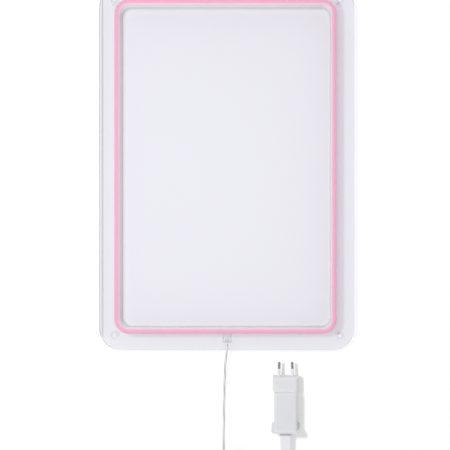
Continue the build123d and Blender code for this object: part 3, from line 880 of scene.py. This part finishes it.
def turned_piece(context, name, rings, centre):
    """A piece turned about the plug's axis, from its front ring to its last one."""
    sides = TURNED_SIDES
    vertices = []
    for distance, radius in rings:
        for side in range(sides):
            angle = 2 * math.pi * side / sides
            x = centre[0] + radius * math.cos(angle)
            z = centre[2] + radius * math.sin(angle)
            vertices.append((x, centre[1] - distance, z))
    faces = [tuple(range(sides))]
    for ring in range(len(rings) - 1):
        for side in range(sides):
            here = ring * sides + side
            beside = ring * sides + (side + 1) % sides
            faces.append((here, here + sides, beside + sides, beside))
    last = (len(rings) - 1) * sides
    faces.append(tuple(last + side for side in reversed(range(sides))))
    mesh = bpy.data.meshes.new(name)
    mesh.from_pydata(vertices, [], faces)
    mesh.update()
    mesh.shade_smooth()
    piece = bpy.data.objects.new(name, mesh)
    context.collection.objects.link(piece)
    rounding = piece.modifiers.new("Rounded ribs", "BEVEL")
    rounding.width = RIB_ROUNDING
    rounding.segments = 2
    rounding.limit_method = "ANGLE"
    return piece


class WRITINGBOARD_OT_plug(bpy.types.Operator):
    """Finishes the USB plug and gives it its ribbed strain relief"""

    bl_idname = "writing_board.finish_plug"
    bl_label = "USB plug"

    def execute(self, context):
        settings = context.scene.board_plug
        overmould = moulded_plastic(
            "white_overmould_pvc", settings.overmould_colour, 0.42, glow=0.1
        )
        dress(overmould, "usb_overmould")
        front = (PLUG_X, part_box("usb_strain_relief")[1].y, PLUG_Z)
        relief = turned_piece(context, "ribbed_strain_relief", relief_rings(settings), front)
        relief.data.materials.append(overmould)
        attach(relief, "board")
        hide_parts("usb_strain_relief")
        steel = drawn_metal(
            "plug_shell_steel", settings.shell_colour, 0.22, (3000.0, 60.0, 3000.0)
        )
        dress(steel, "usb_shell")
        dress(moulded_plastic("plug_insulator", settings.tongue_colour, 0.5), "usb_tongue")
        return {"FINISHED"}


# Board


class WRITINGBOARD_OT_board(bpy.types.Operator):
    """Finishes the clear sheet and its spacers"""

    bl_idname = "writing_board.finish_board"
    bl_label = "Acrylic board"

    def execute(self, context):
        settings = context.scene.board_sheet
        dress(sheet_plastic(settings), "acrylic_board")
        spacer = clear_plastic(
            "clear_spacer_plastic", settings.spacer_colour, settings.spacer_passed, 0.03, index=1.12
        )
        spacers = [name for name in NODES if name.startswith("corner_spacer_")]
        dress(spacer, *spacers)
        part_from_touching(*spacers)
        return {"FINISHED"}


# Neon flex


def pink_dome(settings):
    """Pink silicone, clearest along the crown and duller towards the dome's edges."""
    material, tree, end = start_material("pink_dome_silicone")
    surface = add(tree, "ShaderNodeBsdfPrincipled", (500, 0))
    scatter(surface, 0.2, (1.0, 0.5, 0.7), 0.002)
    crown = ramp(tree, (-300, 200), facing_up(tree, (-700, 200)), CROWN_CHANGE, smooth=True)
    colour = mix_colours(tree, (-150, 200), settings.edge_colour, settings.crown_colour, crown)
    give_colour(tree, surface, colour, 0.03, scale=30.0)
    give_skin(tree, surface, 0.45, 1500.0, 0.1)
    closure = let_through(tree, surface, settings.passed, settings.left_passed)
    join(tree, closure, end.inputs["Surface"])
    return material


def paint_side_shade(tree, settings):
    """A band of painted shade, greyer than the rest, low on the jacket's sides."""
    band = band_share(tree, (-1100, 500), "Z", SHADE_BAND_START, SHADE_BAND_END)
    colour = mix_colours(
        tree, (-250, 400), settings.jacket_colour, settings.side_shade_colour, band
    )
    join(tree, colour, tree.nodes["Tone"].inputs["Colour"])


class WRITINGBOARD_OT_neon(bpy.types.Operator):
    """Finishes the neon flex: its dome, its jacket and the glue under it"""

    bl_idname = "writing_board.finish_neon"
    bl_label = "Neon flex"

    def execute(self, context):
        settings = context.scene.board_neon
        dress(pink_dome(settings), "neon_diffuser")
        jacket = moulded_plastic(
            "white_jacket_silicone", settings.jacket_colour, 0.48, grain_scale=1500.0, glow=0.15,
            passed=settings.passed, left=settings.left_passed,
        )
        # Paints a band of shade low on the jacket's sides.
        paint_side_shade(jacket.node_tree, settings)
        dress(jacket, "neon_jacket")
        glue = clear_plastic("clear_glue_line", settings.glue_colour, settings.glue_passed, 0.08)
        dress(glue, "neon_adhesive")
        part_from_touching("neon_adhesive")
        free_of_shadow("neon_adhesive")
        return {"FINISHED"}


class WRITINGBOARD_OT_strip(bpy.types.Operator):
    """Finishes the light strip inside the neon flex"""

    bl_idname = "writing_board.finish_light_strip"
    bl_label = "Light strip"

    def execute(self, context):
        settings = context.scene.board_strip
        tape = moulded_plastic("white_solder_mask", settings.tape_colour, 0.35, grain_scale=900.0)
        dress(tape, "led_tape")
        chips = two_sided_colour(
            "yellow_phosphor_chip", settings.phosphor_colour, settings.chip_colour, 0.4
        )
        dress(chips, "led_chips")
        free_of_shadow("led_tape", "led_chips")
        return {"FINISHED"}


# Cable box


class WRITINGBOARD_OT_box(bpy.types.Operator):
    """Finishes the cable box, its gland and the wires in it"""

    bl_idname = "writing_board.finish_cable_box"
    bl_label = "Cable box"

    def execute(self, context):
        settings = context.scene.board_box
        box = clear_plastic(
            "clear_box_plastic", settings.box_colour, settings.box_passed, 0.03, index=1.25
        )
        dress(box, "exit_box_plate", "exit_box_hood")
        part_from_touching("exit_box_plate", "exit_box_hood")
        sleeve = clear_plastic(
            "soft_gland_sleeve", settings.gland_colour, settings.gland_passed, 0.1, index=1.2
        )
        dress(sleeve, "cord_gland")
        dress(moulded_plastic("wire_insulation_pvc", settings.wire_colour, 0.4), "feed_wires")
        free_of_shadow("exit_box_plate", "cord_gland", "feed_wires")
        return {"FINISHED"}


# Adapter


class WRITINGBOARD_OT_adapter(bpy.types.Operator):
    """Finishes the adapter's shells and its pins"""

    bl_idname = "writing_board.finish_adapter"
    bl_label = "Adapter"

    def execute(self, context):
        settings = context.scene.board_adapter
        shell = moulded_plastic(
            "satin_shell_plastic", settings.shell_colour, 0.38, grain_scale=2200.0
        )
        dress(shell, "adapter_plug_head", "adapter_case", "adapter_end_cap")
        sleeve = moulded_plastic("pin_sleeve_plastic", settings.sleeve_colour, 0.35)
        dress(sleeve, "pin_sleeve_left", "pin_sleeve_right")
        pins = drawn_metal(
            "nickel_pin_plating", settings.pin_colour, 0.28, (200.0, 5000.0, 200.0)
        )
        dress(pins, "mains_pin_left", "mains_pin_right")
        return {"FINISHED"}


def circuit_mask(settings):
    """Green solder mask with copper tracks that show through it."""
    material, tree, end = start_material("green_circuit_board")
    surface = add(tree, "ShaderNodeBsdfPrincipled", (500, 0))
    where = add(tree, "ShaderNodeTexCoord", (-900, 0))
    tracks = add(tree, "ShaderNodeTexBrick", (-500, 100), Scale=450.0)
    for label, strength in (("Color1", 1.0), ("Color2", 0.8), ("Mortar", 1.8)):
        colour = [strength * level for level in settings.circuit_colour]
        feed_colour(tree, colour, tracks.inputs[label])
    tracks.inputs["Mortar Size"].default_value = 0.06
    join(tree, where.outputs["Object"], tracks.inputs["Vector"])
    join(tree, tracks.outputs["Color"], surface.inputs["Base Color"])
    skin = place_group(tree, satin_skin(), (0, -200), Grain_Scale=1200.0, Roughness=0.3)
    join(tree, skin.outputs["Roughness"], surface.inputs["Roughness"])
    raise_bump(tree, tracks.outputs["Fac"], 0.2, SPECKLE_DEPTH, surface)
    join(tree, surface.outputs[0], end.inputs["Surface"])
    return material


class WRITINGBOARD_OT_inside(bpy.types.Operator):
    """Finishes the circuit inside the adapter and its port"""

    bl_idname = "writing_board.finish_inside"
    bl_label = "Adapter's inside"

    def execute(self, context):
        settings = context.scene.board_inside
        dress(circuit_mask(settings), "adapter_circuit_board")
        contact = drawn_metal(
            "gold_contact_plating", settings.contact_colour, 0.2, (3000.0, 100.0, 3000.0)
        )
        dress(contact, "usb_contacts", "usb_port_contacts")
        leads = drawn_metal(
            "tinned_lead_wire", settings.lead_colour, 0.3, (400.0, 400.0, 2500.0)
        )
        dress(leads, "mains_leads")
        cans = two_sided_colour(
            "capacitor_sleeve", settings.can_colour, settings.wrap_colour, 0.35
        )
        dress(cans, "filter_capacitors")
        ferrite = moulded_plastic(
            "sintered_ferrite", settings.ferrite_colour, 0.6,
            grain_scale=1400.0, bump=0.4, drift=0.3,
        )
        dress(ferrite, "transformer_core")
        tape = moulded_plastic("winding_tape", settings.tape_colour, 0.3, grain_scale=900.0)
        dress(tape, "transformer_winding")
        port = drawn_metal(
            "port_shell_steel", settings.port_colour, 0.25, (3000.0, 80.0, 3000.0)
        )
        dress(port, "usb_port_shell")
        dress(moulded_plastic("port_insulator", settings.tongue_colour, 0.5), "usb_port_tongue")
        return {"FINISHED"}


class WRITINGBOARD_PT_panel(bpy.types.Panel):
    """Lists the operators of the writing board"""

    bl_idname = "WRITINGBOARD_PT_panel"
    bl_label = "Writing Board"
    bl_space_type = "VIEW_3D"
    bl_region_type = "UI"
    bl_category = "Writing Board"

    def draw(self, context):
        for operator in OPERATORS:
            self.layout.operator(operator.bl_idname)


OPERATORS = [
    WRITINGBOARD_OT_stage,
    WRITINGBOARD_OT_cord,
    WRITINGBOARD_OT_plug,
    WRITINGBOARD_OT_board,
    WRITINGBOARD_OT_neon,
    WRITINGBOARD_OT_strip,
    WRITINGBOARD_OT_box,
    WRITINGBOARD_OT_adapter,
    WRITINGBOARD_OT_inside,
]
CLASSES = [*SETTINGS.values(), *OPERATORS, WRITINGBOARD_PT_panel]


def register():
    for item in CLASSES:
        bpy.utils.register_class(item)
    for name, group in SETTINGS.items():
        setattr(bpy.types.Scene, name, bpy.props.PointerProperty(type=group))


def unregister():
    for name in SETTINGS:
        delattr(bpy.types.Scene, name)
    for item in reversed(CLASSES):
        bpy.utils.unregister_class(item)


def main():
    register()
    bpy.ops.writing_board.set_stage()
    bpy.ops.writing_board.lay_cord()
    bpy.ops.writing_board.finish_plug()
    bpy.ops.writing_board.finish_board()
    bpy.ops.writing_board.finish_neon()
    bpy.ops.writing_board.finish_light_strip()
    bpy.ops.writing_board.finish_cable_box()
    bpy.ops.writing_board.finish_adapter()
    bpy.ops.writing_board.finish_inside()


if __name__ == "__main__":
    main()
